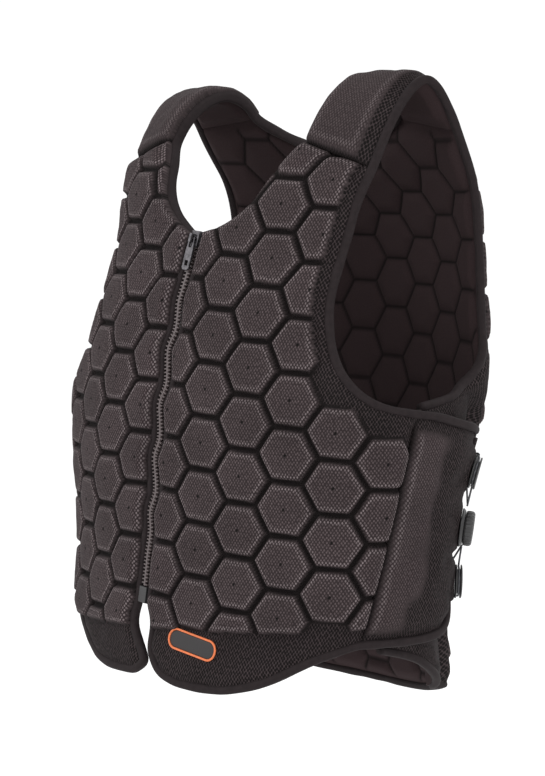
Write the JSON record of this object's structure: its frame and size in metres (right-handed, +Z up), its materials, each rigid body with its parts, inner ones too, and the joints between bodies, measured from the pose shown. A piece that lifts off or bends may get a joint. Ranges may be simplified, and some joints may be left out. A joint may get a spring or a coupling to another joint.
{
  "type": "body protector vest",
  "caption": "Padded riding body protector: zipped front and back of raised hexagonal foam tiles under mesh, arched shoulder pads, side flaps with dial lacing, open neck, armholes and hem.",
  "frame": {"origin": "midway between the two shoulder pads, at the height where they sit on the wearer's shoulders or on a hanger", "axes": "+Z up, -Y out of the chest, +X to the wearer's left"},
  "size_m": [0.4496, 0.2918, 0.5686],
  "materials": {
    "mesh_fabric": "open mesh over foam, dark brown-grey",
    "binding": "smooth stretch binding",
    "zip_tape": "woven tape",
    "moulded_plastic": "moulded, satin",
    "gunmetal": "dark plated",
    "lace": "braided cord",
    "orange_rubber": "moulded, matte",
    "dark_rubber": "moulded, matte, left bare"
  },
  "bodies": {
    "vest": {"front_panel_left": "mesh_fabric", "front_panel_right": "mesh_fabric", "back_panel": "mesh_fabric", "side_flap_left": "mesh_fabric", "side_flap_right": "mesh_fabric", "shoulder_pad_left": "mesh_fabric", "shoulder_pad_right": "mesh_fabric", "neck_binding": "binding", "back_hem_binding": "binding", "armhole_binding_left": "binding", "armhole_binding_right": "binding", "front_edge_binding_left": "binding", "front_edge_binding_right": "binding", "zip_tape_left": "zip_tape", "zip_tape_right": "zip_tape", "zip_chain": "moulded_plastic", "zip_box": "moulded_plastic", "zip_slider": "gunmetal", "dial_base_left": "moulded_plastic", "dial_base_right": "moulded_plastic", "flap_guide_left_upper": "moulded_plastic", "flap_guide_left_lower": "moulded_plastic", "flap_guide_right_upper": "moulded_plastic", "flap_guide_right_lower": "moulded_plastic", "back_guide_left_upper": "moulded_plastic", "back_guide_left_lower": "moulded_plastic", "back_guide_right_upper": "moulded_plastic", "back_guide_right_lower": "moulded_plastic", "lace_left_upper": "lace", "lace_left_lower": "lace", "lace_right_upper": "lace", "lace_right_lower": "lace", "badge_rim": "orange_rubber", "badge_plate": "dark_rubber"},
    "pull": {"zip_pull": "gunmetal"},
    "knob_left": {"dial_knob_left": "moulded_plastic"},
    "knob_right": {"dial_knob_right": "moulded_plastic"}
  },
  "joints": [
    {"name": "zip_pull_hinge", "type": "hinge", "parent": "vest", "child": "pull", "pos_m": [-0.00523, -0.10528, -0.1226], "axis": [-0.9986, 0.027, 0.0461], "range_deg": [0, 150]},
    {"name": "dial_left_spin", "type": "hinge", "parent": "vest", "child": "knob_left", "pos_m": [0.19169, 0.04165, -0.37382], "axis": [0.718, 0.6828, -0.1353], "continuous": true},
    {"name": "dial_right_spin", "type": "hinge", "parent": "vest", "child": "knob_right", "pos_m": [-0.19169, 0.04165, -0.37382], "axis": [-0.718, 0.6828, -0.1353], "continuous": true}
  ]
}
